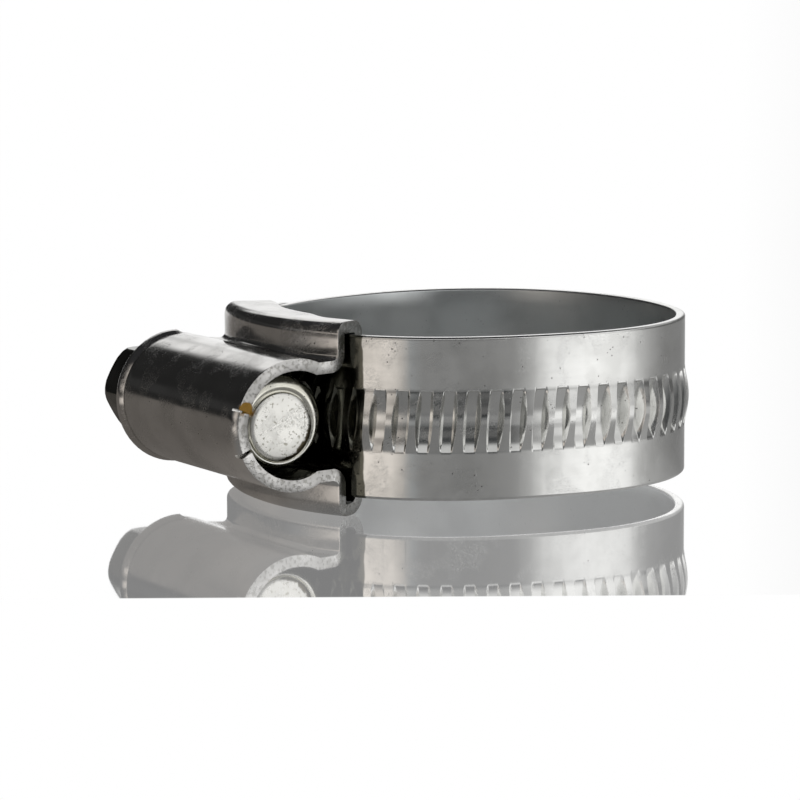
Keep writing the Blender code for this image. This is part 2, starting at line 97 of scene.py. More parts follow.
angles = np.linspace(FIXED_END_ANGLE, -2 * math.pi - TAIL_ANGLE, PATH_STEPS)
lift = smooth_step((LIFT_START - 2 * math.pi - angles) / (LIFT_START - LIFT_END))
reach = loop_radius(angles) + LAYER_PITCH * lift
PATH = np.stack([reach * np.sin(angles), -reach * np.cos(angles)], axis=1)
tangents = np.gradient(PATH, axis=0)
tangents /= np.linalg.norm(tangents, axis=1)[:, None]
NORMALS = np.stack([-tangents[:, 1], tangents[:, 0]], axis=1)
LENGTHS = np.concatenate([[0], np.cumsum(np.linalg.norm(np.diff(PATH, axis=0), axis=1))])

outline = PATH + NORMALS * BAND_THICKNESS / 2
band_low, band_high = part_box("band")
CENTRE = Vector((band_high.x - outline[:, 0].max(),
                 band_high.y - outline[:, 1].max(),
                 (band_low.z + band_high.z) / 2))
print("strip length, mm:", round(LENGTHS[-1] / MM, 1), "loop centre, mm:", CENTRE / MM)


# %% [markdown]
# ## Small helpers
# A bmesh is a mesh in the making. Each helper below turns one into an object, or finishes its
# surface: modifiers are applied to a new mesh, the shading is made smooth except across sharp
# corners, and every point learns how much it stands out from its neighbours. The finishes use that
# last value to brighten worn edges. The Pointiness of a Geometry node could tell them the same,
# but a stored value is the same in every renderer.

# %% Objects from bmeshes
EDGE_REACH = 0.25 * MM              # neighbours nearer than this tell how sharp a point's place is


def make_piece(name, bm):
    mesh = bpy.data.meshes.new(name)
    bm.to_mesh(mesh)
    bm.free()
    piece = bpy.data.objects.new(name, mesh)
    bpy.context.scene.collection.objects.link(piece)
    return piece


def apply_modifiers(piece):
    graph = bpy.context.evaluated_depsgraph_get()
    mesh = bpy.data.meshes.new_from_object(piece.evaluated_get(graph))
    piece.modifiers.clear()
    piece.data = mesh


def mark_edges(piece):
    """Stores how convex the surface is at each point, from 0 to 1, as the attribute edge."""
    bm = bmesh.new()
    bm.from_mesh(piece.data)
    bm.normal_update()
    layer = bm.verts.layers.float.new("edge")
    for vert in bm.verts:
        lift = 0.0
        for edge in vert.link_edges:
            step = edge.other_vert(vert).co - vert.co
            if 0 < step.length < EDGE_REACH:
                lift = max(lift, -vert.normal.dot(step.normalized()))
        vert[layer] = min(max(lift * 2.5 - 0.2, 0.0), 1.0)
    bm.to_mesh(piece.data)
    bm.free()


def finish_shape(piece, sharp):
    """Smooth shading, except across corners of more than sharp degrees."""
    apply_modifiers(piece)
    mark_edges(piece)
    piece.data.shade_smooth()
    piece.data.set_sharp_from_angle(angle=math.radians(sharp))
    faces = sum(len(p.vertices) - 2 for p in piece.data.polygons)
    print(piece.name, "triangles:", faces)


# %% [markdown]
# ## The band
# The real strip is slit from a coil, its thread is rolled in flat, and it is then bent to a loop.
# The mesh is made in the same order. A long thin box gets rounded rims, cuts across its outer face
# set the rows, and dividing its long edges sets the columns, which gather where a pocket's flank
# begins and ends. Then points of the outer face are pressed in or lifted, and the strip is bent.
# Cutting 36 pockets out of a bent strip with booleans would be slower and leave ragged shading.

# %% Rows and columns
THREAD_PITCH = 25.4 / 14 * MM
THREAD_START = math.radians(165)    # how far back from the housing the first pocket lies
THREAD_MARGIN = 4.0 * MM            # plain strip between the last pocket and the tip
THREAD_SLOPE = 0.073                # a pocket's slant, from the worm's lead
POCKET_LENGTH = 4.8 * MM            # across the strip
POCKET_DEPTH = 0.46 * MM
POCKET_SCOOP = 7.4 * MM             # the radius of its floor
SCOOP_RISE = 0.13 * MM              # the scoop runs out shallower at the lower end
POCKET_FLOOR = 0.36 * MM            # half of the pocket's flat floor, along the strip
POCKET_FLANK = math.tan(math.radians(26))
LAND_RISE = 0.34 * MM               # the ribs between the pockets stand proud
LAND_REACH = 2.6 * MM               # and their rise fades out this far from the thread's middle
END_WALL = 0.05 * MM                # half of the room that a pocket's end wall takes up
FLAT_HALF = 6.26 * MM               # the outer face is flat to here, so its rims look crisp
CROWN_FROM = 5.0 * MM               # the inner face starts to lean over here

POCKET_ROWS = (0, 0.35, 0.7, 1.05, 1.4, 1.75, 2.05, 2.25)     # mm from the pocket's middle
# Columns of half a pocket: 0 is its middle, 1 its floor's edge, 2 its mouth, 3 the land's middle.
HALF_PHASES = (0.0, 0.35, 0.7, 0.92, 1.0, 1.25, 1.75, 2.0, 2.1, 2.45, 3.0)
PHASE_STOPS = (0, 1, 2, 3)

rows = sorted({sign * value * MM for value in POCKET_ROWS for sign in (-1, 1)})
WALL = POCKET_LENGTH / 2            # the end walls stand this far from the pocket's middle
ends = [WALL - END_WALL, WALL + END_WALL, LAND_REACH, LAND_REACH + 0.1 * MM]
ROWS = [*[-value for value in reversed(ends)], *rows, *ends]

thread_middle = float(np.interp(2 * math.pi, -angles, LENGTHS))
thread_start = float(np.interp(2 * math.pi - THREAD_START, -angles, LENGTHS))
FIRST = math.ceil((thread_start - thread_middle) / THREAD_PITCH)
LAST = math.floor((LENGTHS[-1] - THREAD_MARGIN - thread_middle) / THREAD_PITCH)
phases = sorted({sign * value for value in HALF_PHASES for sign in (-1, 1)})[:-1]
COLUMNS = [(i, phase) for i in range(FIRST, LAST + 1) for phase in phases] + [(LAST, 3.0)]
print("pockets:", LAST - FIRST + 1, "columns:", len(COLUMNS))


# %% The strip, flat
RIM_RADIUS = 0.2 * MM
PLAIN_COLUMNS, TIP_COLUMNS = 110, 9         # before the thread and after it
NEAR = 0.01 * MM
WELD = 0.001 * MM


def faces_towards(bm, side):
    return [f for f in bm.faces if f.normal.y * side > 0.99]


def cut_face(bm, place, direction, faces):
    edges = list({e for f in faces for e in f.edges})
    verts = list({v for f in faces for v in f.verts})
    bmesh.ops.bisect_plane(bm, geom=verts + edges + faces, dist=WELD,
                           plane_co=place, plane_no=direction)


def divide_long_edges(bm, low, high, count):
    long_edges = [e for e in bm.edges
                  if abs(e.calc_length() - (high - low)) < NEAR
                  and min(v.co.x for v in e.verts) < low + NEAR
                  and max(v.co.x for v in e.verts) > high - NEAR]
    bmesh.ops.subdivide_edges(bm, edges=long_edges, cuts=count - 1, use_grid_fill=True)


def flat_strip():
    length = LENGTHS[-1]
    thread_from = thread_middle + (FIRST - 0.5) * THREAD_PITCH
    thread_to = thread_middle + (LAST + 0.5) * THREAD_PITCH
    bm = bmesh.new()
    size = Matrix.Diagonal((length, BAND_THICKNESS, BAND_WIDTH, 1))
    bmesh.ops.create_cube(bm, size=1, matrix=Matrix.Translation((length / 2, 0, 0)) @ size)
    rims = [e for e in bm.edges if e.calc_length() > length / 2]
    bmesh.ops.bevel(bm, geom=rims, offset=RIM_RADIUS, segments=3, profile=0.5,
                    affect="EDGES", material=-1)
    bm.normal_update()
    for row in ROWS:
        cut_face(bm, (0, 0, row - DRIVE_DROP), (0, 0, 1), faces_towards(bm, 1))
    for half, side in ((FLAT_HALF, 1), (CROWN_FROM, -1)):
        for row in (-half, half):
            cut_face(bm, (0, 0, row), (0, 0, 1), faces_towards(bm, side))
    for place in (thread_from, thread_to):
        cut_face(bm, (place, 0, 0), (1, 0, 0), bm.faces[:])
    divide_long_edges(bm, 0, thread_from, PLAIN_COLUMNS)
    divide_long_edges(bm, thread_from, thread_to, len(COLUMNS) - 1)
    divide_long_edges(bm, thread_to, length, TIP_COLUMNS)
    return bm, thread_from, thread_to


strip, thread_from, thread_to = flat_strip()
print("flat strip, points:", len(strip.verts), "thread, mm:", (thread_to - thread_from) / MM)


# %% Press the thread
def pocket_depth(z):
    return POCKET_DEPTH - (z - SCOOP_RISE) ** 2 / (2 * POCKET_SCOOP)


def press_point(column, z):
    """Place along the strip and height of the surface at one column and row."""
    i, phase = COLUMNS[column]
    inside = max(min(z, WALL), -WALL)
    depth = pocket_depth(inside)
    mouth = POCKET_FLOOR + (depth + LAND_RISE / 2) * POCKET_FLANK
    stations = (0, POCKET_FLOOR, mouth, THREAD_PITCH / 2)
    offset = float(np.interp(abs(phase), PHASE_STOPS, stations))
    slant = -inside * THREAD_SLOPE
    along = thread_middle + i * THREAD_PITCH + math.copysign(offset, phase) + slant
    rise = LAND_RISE * max(1 - (z / LAND_REACH) ** 2, 0) ** 2
    if abs(z) > WALL:
        return along, rise
    return along, float(np.interp(abs(phase), PHASE_STOPS, (-depth, -depth, rise, rise)))


def press_thread(bm):
    """Presses the outer face; the columns of the other faces are spaced out evenly."""
    span = thread_to - thread_from
    last = len(COLUMNS) - 1
    for vert in bm.verts:
        x, y, z = vert.co
        if not thread_from - WELD < x < thread_to + WELD:
            continue
        column = round((x - thread_from) / span * last)
        along, height = press_point(column, z + DRIVE_DROP)
        if y > BAND_THICKNESS / 2 - WELD and abs(z) < BAND_WIDTH / 2 - RIM_RADIUS - NEAR:
            vert.co.x, vert.co.y = along, y + height
        else:
            vert.co.x = float(np.interp(column, (0, last), (thread_from, thread_to)))


press_thread(strip)
print("strip's height over the lands, mm:", max(vert.co.y for vert in strip.verts) / MM)

# %% Bend it to the loop
TIP_CORNER = 2.6 * MM


def round_tip(bm):
    for vert in bm.verts:
        left = LENGTHS[-1] - vert.co.x
        if left < TIP_CORNER:
            rounding = math.sqrt(TIP_CORNER ** 2 - (TIP_CORNER - left) ** 2)
            half = BAND_WIDTH / 2 - TIP_CORNER + rounding
            vert.co.z *= half / (BAND_WIDTH / 2)


def bend_strip(bm):
    """Bends the strip by its length, and keeps each point's flat place as the attribute flat."""
    flat = bm.verts.layers.float_vector.new("flat")
    along = np.array([v.co.x for v in bm.verts])
    place = [np.interp(along, LENGTHS, PATH[:, i]) for i in (0, 1)]
    outward = [np.interp(along, LENGTHS, NORMALS[:, i]) for i in (0, 1)]
    for i, vert in enumerate(bm.verts):
        vert[flat] = vert.co
        lift = vert.co.y
        vert.co = CENTRE + Vector((place[0][i] + lift * outward[0][i],
                                   place[1][i] + lift * outward[1][i], vert.co.z))


round_tip(strip)
bend_strip(strip)
band = make_piece("band_skin", strip)
finish_shape(band, 50)
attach(band, "clamp")
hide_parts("band")


# %% [markdown]
# ## The housing
# The housing is one sheet, so it is modelled as a sheet: a flat grid whose points are moved to the
# barrel, necks, feet, legs and folds, station by station along the screw. The narrow slits beside
# the crimped tab are faces left out. Solidify gives the sheet its thickness. A bevel then breaks
# the cut edges, as tumbling does on the real pressing, except inside the slits, which are too
# narrow for it. A Bevel modifier would be simpler, but where it meets the slits it shrinks every
# bevel.

# %% Sizes of the housing
SHEET = 0.95 * MM
BARREL_BORE = 4.33 * MM
BARREL_TAIL_END, BARREL_HEAD_END = 9.2 * MM, 11.84 * MM
NECK_HALF = 4.30 * MM
FOOT_RADIUS = 0.95 * MM
OUTER_FOLD, UPPER_FOLD, LOWER_FOLD = 0.55 * MM, 0.62 * MM, 1.25 * MM
LEG_TAIL_END, LEG_HEAD_END = 8.7 * MM, 9.4 * MM
LEG_TUCK, LEG_FLARE = 0.3 * MM, 0.35 * MM   # how far the outer legs draw in and stand off
INNER_LEG_LENGTH = 2.2 * MM
OUTER_GAP, INNER_GAP, EDGE_GAP = 0.7 * MM, 0.15 * MM, 0.33 * MM     # between legs and band
CREST, BITE = 3.95 * MM, 0.42 * MM          # the worm's radius, and how deep it reaches in
LAP_START, LAP_TURN = 4, 11                 # degrees over which the inner legs step outwards

SCREW_REACH = SADDLE_REACH + LAYER_PITCH + BAND_THICKNESS / 2 - BITE + CREST
BARREL_MID = BARREL_BORE + SHEET / 2
BARREL_LENGTH = BARREL_HEAD_END + BARREL_TAIL_END
OUTER_LEG = LAYER_PITCH + BAND_THICKNESS / 2 + OUTER_GAP + SHEET / 2
INNER_LEG = -(BAND_THICKNESS / 2 + INNER_GAP + SHEET / 2)
FOLD_HEIGHT = BAND_WIDTH / 2 + EDGE_GAP + SHEET / 2
print("barrel, mm:", BARREL_LENGTH / MM, "screw from the loop's centre, mm:", SCREW_REACH / MM)

# %% [markdown]
# The rim at the head's side is rolled to a low bead. At the other end a tab between two slits is
# pressed in and back, which keeps the screw from sliding out. Heights of the bead are taken from
# the barrel's plain radius, and angles round the barrel from its crown.

# %% Sizes of the bead and the tab
BEAD_PLACES = [value * MM for value in (0, 0.2, 0.4, 0.55, 0.7, 0.85, 1.0, 1.2, 1.5)]
BEAD_HEIGHTS = [value * MM for value in (-0.08, 0.04, 0.16, 0.22, 0.2, 0.06, -0.05, -0.05, 0)]
TAB_HALF_ANGLE, TAB_TILT = 20.5, -3.5
TAB_LENGTH, TAB_PRESS, TAB_BACK = 1.1 * MM, 0.34 * MM, 0.5 * MM
TAB_ROWS, MIDDLE_ROWS = 6, 34
SLIT_HALF = 0.95                            # half of a slit's width, in degrees
SLIT_COLUMN = 4                             # of the half section, counted from the crown
ARCH_MEETS, ARCH_GOES_ON = 66, 72           # degrees, where both halves' lines agree


# %% The sheet's section
def saddle_point(offset, turn):
    radius = SADDLE_RADIUS + offset
    return Vector((radius * math.sin(turn),
                   SADDLE_RADIUS - SADDLE_REACH - radius * math.cos(turn)))


def leg_points(along):
    """Middles of the outer and the inner leg, at one place along the screw."""
    turn = math.asin(along / (SADDLE_RADIUS + OUTER_LEG))
    tuck = LEG_TUCK * (max(along, 0) / LEG_TAIL_END) ** 2
    tuck -= LEG_FLARE * (min(along, 0) / LEG_HEAD_END) ** 2
    step = smooth_step((math.degrees(turn) - LAP_START) / LAP_TURN)
    inner_offset = INNER_LEG + LAYER_PITCH * float(step)
    return saddle_point(OUTER_LEG - tuck, turn), saddle_point(inner_offset, turn)


def arch_angles(side):
    """Degrees from the crown that every section shares, with lines at both sides of a slit."""
    slit = TAB_HALF_ANGLE + side * TAB_TILT
    return [0, slit * 0.25, slit * 0.5, slit * 0.75, slit - SLIT_HALF, slit + SLIT_HALF,
            *np.linspace(slit + SLIT_HALF + 6, ARCH_MEETS, 7)]


def omega_points(leg_reach, side):
    """Distance from the loop's centre and height of the barrel's arch, neck and foot."""
    drop = SCREW_REACH - leg_reach - FOOT_RADIUS
    touching = math.sqrt(max((BARREL_MID + FOOT_RADIUS) ** 2 - drop ** 2, 0))
    foot_height = max(touching, NECK_HALF + FOOT_RADIUS)
    if touching >= NECK_HALF + FOOT_RADIUS:
        wrap = foot_turn = math.atan2(foot_height, -drop)
    else:
        wrap, foot_turn = math.pi - math.asin(NECK_HALF / BARREL_MID), math.pi / 2
    turns = [*[math.radians(a) for a in arch_angles(side)],
             *np.linspace(math.radians(ARCH_GOES_ON), wrap, 11)]
    arch = [(SCREW_REACH + BARREL_MID * math.cos(a), BARREL_MID * math.sin(a)) for a in turns]
    foot = [(leg_reach + FOOT_RADIUS * (1 - math.cos(a)), foot_height - FOOT_RADIUS * math.sin(a))
            for a in np.linspace(foot_turn, 0, 13)[1:]]
    return arch + foot


def half_section(share, side):
    """The sheet's middle from the crown to an inner leg's edge, and its place along the screw."""
    place = -BARREL_HEAD_END + share * BARREL_LENGTH
    outer, inner = leg_points(-LEG_HEAD_END + share * (LEG_HEAD_END + LEG_TAIL_END))
    inward = (inner - outer).normalized()
    leg_reach = -outer.y
    points = []
    for distance, height in omega_points(leg_reach, side):
        lower = (SCREW_REACH - distance) / (SCREW_REACH - leg_reach)
        x = place + (outer.x - place) * float(smooth_step(lower))
        points.append((x, -distance, height))
    fold_start = FOLD_HEIGHT - OUTER_FOLD
    points += [(outer.x, outer.y, height)
               for height in np.linspace(points[-1][2], fold_start, 5)[1:]]
    inner_fold = UPPER_FOLD if side > 0 else LOWER_FOLD
    for corner, radius, turns in (
            (outer + inward * OUTER_FOLD, OUTER_FOLD, np.linspace(-90, 0, 7)[1:]),
            (inner - inward * inner_fold, inner_fold, np.linspace(0, 90, 8))):
        for turn in np.radians(turns):
            spot = corner + inward * radius * math.sin(turn)
            points.append((spot.x, spot.y, FOLD_HEIGHT - radius + radius * math.cos(turn)))
    points.append((inner.x, inner.y, FOLD_HEIGHT + SHEET / 2 - INNER_LEG_LENGTH))
    return points, place


def shape_point(x, y, z, place, side):
    """Adds the bead and the pressed tab, and moves the point to its place on the clamp."""
    reach_out = -y - SCREW_REACH
    angle = math.degrees(math.atan2(side * z, reach_out))
    radius = math.hypot(reach_out, z)
    if abs(angle) < 90:
        radius += float(np.interp(place + BARREL_HEAD_END, BEAD_PLACES, BEAD_HEIGHTS))
        if abs(angle - TAB_TILT) < TAB_HALF_ANGLE - SLIT_HALF / 2:
            pressed = smooth_step((place - BARREL_TAIL_END + TAB_LENGTH) / TAB_LENGTH)
            radius -= TAB_PRESS * float(pressed)
            x -= TAB_BACK * float(pressed)
        y = -SCREW_REACH - radius * math.cos(math.radians(angle))
        z = radius * abs(math.sin(math.radians(angle)))
    return CENTRE + Vector((x, y, side * z - DRIVE_DROP))


# %% The sheet, station by station
def station_shares():
    """Stations along the screw as shares of the barrel, close together at the bead and the tab."""
    near_head = [place / BARREL_LENGTH for place in BEAD_PLACES]
    near_tail = [1 - TAB_LENGTH * i / TAB_ROWS / BARREL_LENGTH for i in range(TAB_ROWS, -1, -1)]
    middle = np.linspace(near_head[-1], near_tail[0], MIDDLE_ROWS)[1:-1]
    return [*near_head, *middle, *near_tail]


def shaped_half(share, side):
    points, place = half_section(share, side)
    return [shape_point(*point, place, side) for point in points]


def whole_section(share):
    return shaped_half(share, -1)[::-1] + shaped_half(share, 1)[1:]


def cut_slits(bm, station, column, stations, crown):
    """Leaves out the faces of both slits, and marks their points with the attribute slit."""
    columns = {crown + SLIT_COLUMN, crown - SLIT_COLUMN - 1}
    slits = [f for f in bm.faces
             if min(v[station] for v in f.verts) >= stations - TAB_ROWS - 1
             and min(v[column] for v in f.verts) in columns]
    narrow = bm.verts.layers.float.new("slit")
    for face in slits:
        for vert in face.verts:
            vert[narrow] = 1.0
    bmesh.ops.delete(bm, geom=slits, context="FACES")
    print("slit faces:", len(slits))


def housing_sheet():
    sections = [whole_section(share) for share in station_shares()]
    stations, across = len(sections), len(sections[0])
    bm = bmesh.new()
    bmesh.ops.create_grid(bm, x_segments=stations - 1, y_segments=across - 1, size=0.5)
    column = bm.verts.layers.int.new("column")
    station = bm.verts.layers.int.new("station")
    for vert in bm.verts:
        i = round((vert.co.x + 0.5) * (stations - 1))
        j = round((vert.co.y + 0.5) * (across - 1))
        vert[station], vert[column] = i, j
        vert.co = sections[i][j]
    cut_slits(bm, station, column, stations, across // 2)
    print("sections:", stations, "points in each:", across)
    return bm


# %% Thickness and edges
BROKEN_EDGE = 0.12 * MM


def break_edges(piece, size):
    """Rounds every sharp edge of the sheet but those inside the slits."""
    bm = bmesh.new()
    bm.from_mesh(piece.data)
    narrow = bm.verts.layers.float["slit"]
    sharp = [e for e in bm.edges if len(e.link_faces) == 2
             and e.calc_face_angle() > math.radians(50)
             and min(v[narrow] for v in e.verts) < 0.5]
    bmesh.ops.bevel(bm, geom=sharp, offset=size, segments=3, profile=0.5, affect="EDGES",
                    clamp_overlap=True, material=-1)
    bm.to_mesh(piece.data)
    bm.free()


def mark_cut_faces(piece):
    """Stores 1 on the sheared faces at both ends of the pressing, as the attribute sheared."""
    layer = piece.data.attributes.new("sheared", "FLOAT", "POINT")
    for vert in piece.data.vertices:
        layer.data[vert.index].value = min(max((abs(vert.normal.x) - 0.75) * 5, 0.0), 1.0)


sheet = housing_sheet()
bmesh.ops.recalc_face_normals(sheet, faces=sheet.faces)
housing = make_piece("housing_skin", sheet)
solidify = housing.modifiers.new("Sheet", "SOLIDIFY")
solidify.thickness, solidify.offset, solidify.use_even_offset = SHEET, 0, True
apply_modifiers(housing)
break_edges(housing, BROKEN_EDGE)
finish_shape(housing, 40)
mark_cut_faces(housing)
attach(housing, "clamp")
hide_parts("housing")


# %% [markdown]
# ## The worm screw
# The screw is turned, so it is spun from an outline. Its end face is a flat disc with a groove and
# a rounded rim round it, and it was filed a little off its middle. The thread is one more spin,
# with a step along the axis at every turn. A Screw modifier could wind it too, but the ridge would
# then be an object of its own.

# %% Sizes of the screw
ROOT = 3.05 * MM
END_RADIUS, END_LENGTH, END_DISC = 3.68 * MM, 1.0 * MM, 2.75 * MM
END_FACE = BARREL_TAIL_END - 2.22 * MM
DISC_SHIFT = Vector((0, -0.08 * MM, -0.40 * MM))    # the end was filed a little off its middle
DISC_DEPTH = 0.5 * MM               # the shift fades out over this depth
BEARING = BARREL_BORE - 0.1 * MM
BEARING_END = -BARREL_HEAD_END + 2.0 * MM
ROOT_CONE = 0.4 * MM                # length of the cones at both ends of the thread's root
COLLAR, COLLAR_THICKNESS = 4.55 * MM, 0.7 * MM
COLLAR_FACE = -BARREL_HEAD_END - 0.1 * MM
COLLAR_BACK = COLLAR_FACE - COLLAR_THICKNESS
COLLAR_INNER, COLLAR_OUTER = 0.08 * MM, 0.12 * MM   # its corners at the barrel and at the head

# The end's outline, in mm back from the end face.
DISC_DOME = ((0, 0), (0.01, 0.5), (0.03, 0.85), (0.07, 0.97), (0.14, 1))    # share of END_DISC
END_GROOVE = ((0.27, 0.03), (0.30, 0.10), (0.24, 0.22), (0.22, 0.38))       # mm out from it
END_RIM = ((0.28, 0.38), (0.40, 0.2), (0.58, 0.06), (0.76, 0))              # mm in from END_RADIUS


# %% Turned shank
def spun(outline, steps=96):
    """Turns an outline of places along the axis and radii into a round solid."""
    bm = bmesh.new()
    verts = [bm.verts.new((x, 0, radius)) for x, radius in outline]
    edges = [bm.edges.new(pair) for pair in zip(verts, verts[1:])]
    bmesh.ops.spin(bm, geom=verts + edges, cent=(0, 0, 0), axis=(1, 0, 0), dvec=(0, 0, 0),
                   angle=2 * math.pi, steps=steps, use_merge=True)
    bmesh.ops.remove_doubles(bm, verts=bm.verts, dist=WELD)
    bmesh.ops.recalc_face_normals(bm, faces=bm.faces)
    return bm


def screw_shank():
    outline = [(END_FACE - back * MM, END_DISC * share) for back, share in DISC_DOME]
    outline += [(END_FACE - back * MM, END_DISC + out * MM) for back, out in END_GROOVE]
    outline += [(END_FACE - back * MM, END_RADIUS - inward * MM) for back, inward in END_RIM]
    outline += [(END_FACE - END_LENGTH, END_RADIUS), (END_FACE - END_LENGTH - ROOT_CONE, ROOT),
                (BEARING_END + ROOT_CONE, ROOT), (BEARING_END, BEARING), (COLLAR_FACE, BEARING),
                (COLLAR_FACE, COLLAR - COLLAR_INNER), (COLLAR_FACE - COLLAR_INNER, COLLAR),
                (COLLAR_BACK + COLLAR_OUTER, COLLAR), (COLLAR_BACK, COLLAR - COLLAR_OUTER),
                (COLLAR_BACK, 0)]
    bm = spun(outline)
    for vert in bm.verts:
        if vert.co.x > END_FACE - DISC_DEPTH:
            apart = (END_RADIUS - vert.co.yz.length) / (END_RADIUS - END_DISC)
            vert.co += DISC_SHIFT * min(max(apart, 0), 1)
    return bm


shank = screw_shank()
print("shank, points:", len(shank.verts), "length, mm:", (END_FACE - COLLAR_BACK) / MM)

# %% Thread
THREAD_BASE, THREAD_TIP = 0.66 * MM, 0.22 * MM      # halves of its width
TIP_WIDER, TIP_LOWER = 0.05 * MM, 0.08 * MM         # the small cones beside its crest
TURN_STEPS = 48


def thread_ridge():
    foot = ROOT - (CREST - ROOT) / 2                # the ridge starts inside the shank
    first = math.floor((BEARING_END - 0.5 * MM) / THREAD_PITCH)
    turns = (END_FACE - END_LENGTH - 0.3 * MM - first * THREAD_PITCH) / THREAD_PITCH
    steps = round(turns * TURN_STEPS)
    half = [(THREAD_TIP, CREST), (THREAD_TIP + TIP_WIDER, CREST - TIP_LOWER), (THREAD_BASE, foot)]
    outline = [(-x, radius) for x, radius in reversed(half)] + half
    bm = bmesh.new()
    verts = [bm.verts.new((x + first * THREAD_PITCH, radius, 0)) for x, radius in outline]
    face = bm.faces.new(verts)
    bmesh.ops.spin(bm, geom=[face], cent=(0, 0, 0), axis=(1, 0, 0),
                   dvec=(THREAD_PITCH * turns / steps, 0, 0),
                   angle=2 * math.pi * turns, steps=steps)
    bmesh.ops.recalc_face_normals(bm, faces=bm.faces)
    print("thread, turns:", round(turns, 2))
    return bm


ridge = thread_ridge()

# %% [markdown]
# The head is a hexagon for a spanner, with a slot for a screwdriver. It is a spun, domed blank
# trimmed to a six-sided prism, which gives it the usual rounded corners, and the slot is a block
# taken out of it. Booleans suit these few large faces, and a small bevel breaks all their edges at
# once.

# %% Head
FLATS, HEAD_LENGTH = 7.0 * MM, 5.0 * MM
HEAD_END = COLLAR_BACK - HEAD_LENGTH
HEAD_TURN = math.radians(25)
SLOT_SIZE = (3.0 * MM, 1.1 * MM, 6.2 * MM)          # twice its depth, its width and its length
HEAD_EDGE = 0.15 * MM
# The blank's dome, in mm from the head's end and in from the hexagon's corners.
HEAD_DOME = ((1.3, 0), (0.75, 0.14), (0.36, 0.38), (0.12, 0.7), (0, 1.1))


def hexagon():
    corner = FLATS / math.sqrt(3)
    inside = COLLAR_FACE - COLLAR_THICKNESS / 2
    dome = [(HEAD_END + back * MM, corner - inward * MM) for back, inward in HEAD_DOME]
    blank = make_piece("head_blank", spun([(inside, 0), (inside, corner), *dome, (HEAD_END, 0)]))
    bm = bmesh.new()
    turn = Matrix.Translation((HEAD_END, 0, 0)) @ Matrix.Rotation(math.pi / 2, 4, "Y")
    bmesh.ops.create_cone(bm, cap_ends=True, segments=6, radius1=corner, radius2=corner,
                          depth=4 * HEAD_LENGTH, matrix=turn)
    prism = make_piece("head_prism", bm)
    bm = bmesh.new()
    tilt = Matrix.Translation((HEAD_END, 0, 0)) @ Matrix.Rotation(HEAD_TURN, 4, "X")
    bmesh.ops.create_cube(bm, size=1, matrix=tilt @ Matrix.Diagonal((*SLOT_SIZE, 1)))
    slot = make_piece("slot", bm)
    for operation, other in (("INTERSECT", prism), ("DIFFERENCE", slot)):
        modifier = blank.modifiers.new(operation.title(), "BOOLEAN")
        modifier.operation, modifier.object, modifier.solver = operation, other, "EXACT"
    corners = blank.modifiers.new("Broken edges", "BEVEL")
    corners.width, corners.segments, corners.limit_method = HEAD_EDGE, 3, "ANGLE"
    corners.angle_limit = math.radians(35)
    apply_modifiers(blank)
    mesh = blank.data
    for item in (blank, prism, slot):
        bpy.data.objects.remove(item, do_unlink=True)
    print("head, faces:", len(mesh.polygons))
    return mesh


# %% The whole screw
END_SKIN = 0.1 * MM                 # points this near the end face belong to the filed disc
SCREW_PLACE = Matrix.Translation(CENTRE + Vector((0, -SCREW_REACH, -DRIVE_DROP)))

whole = bmesh.new()
for part in (shank, ridge):
    mesh = bpy.data.meshes.new("part")
    part.to_mesh(mesh)
    part.free()
    whole.from_mesh(mesh)
whole.from_mesh(hexagon())
flat = whole.verts.layers.float_vector.new("flat")
disc = whole.verts.layers.float.new("end_disc")
for vert in whole.verts:
    vert[flat] = vert.co
    vert[disc] = float(vert.co.x > END_FACE - END_SKIN)
whole.transform(SCREW_PLACE)
screw = make_piece("screw_skin", whole)
finish_shape(screw, 35)
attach(screw, "screw")
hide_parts("worm_screw")


# %% [markdown]
# ## Finishes
# All three pieces are steel with a thin bright plating, so every finish starts from the same few
# traces of work: the grain that the rolls left along the strip, hairline scratches, small pits in
# the plating, dull smudges and worn edges. Each trace is a small group of nodes that gives one
# value, and each finish mixes them in its own measure. Painted pictures could show the same, but
# nodes stay sharp at any distance.

# %% Node helpers
def add(tree, kind, **settings):
    node = tree.nodes.new(kind)
    for key, value in settings.items():
        setattr(node, key, value)
    return node


def join(tree, source, target):
    tree.links.new(source, target)


def math_node(tree, operation, *values):
    node = add(tree, "ShaderNodeMath", operation=operation)
    for socket, value in zip(node.inputs, values):
        if isinstance(value, (int, float)):
            socket.default_value = value
        else:
            join(tree, value, socket)
    return node.outputs[0]


def stretched(tree, vector, scale):
    node = add(tree, "ShaderNodeMapping")
    node.inputs["Scale"].default_value = scale
    join(tree, vector, node.inputs["Vector"])
    return node.outputs[0]


def slanted(tree, vector, scale, turn):
    """Like stretched, but along an axis turned by these degrees."""
    node = add(tree, "ShaderNodeMapping", vector_type="TEXTURE")
    node.inputs["Scale"].default_value = [1 / part for part in scale]
    node.inputs["Rotation"].default_value = [math.radians(a) for a in turn]
    join(tree, vector, node.inputs["Vector"])
    return node.outputs[0]


def noise(tree, vector, scale, detail=3.0):
    node = add(tree, "ShaderNodeTexNoise")
    node.inputs["Scale"].default_value = scale
    node.inputs["Detail"].default_value = detail
    join(tree, vector, node.inputs["Vector"])
    return node.outputs[0]


def between(tree, value, low, high):
    """0 at low and 1 at high, and smooth between them; low may be the larger one."""
    node = add(tree, "ShaderNodeMapRange", interpolation_type="SMOOTHSTEP")
    join(tree, value, node.inputs["Value"])
    node.inputs["From Min"].default_value = low
    node.inputs["From Max"].default_value = high
    return node.outputs[0]


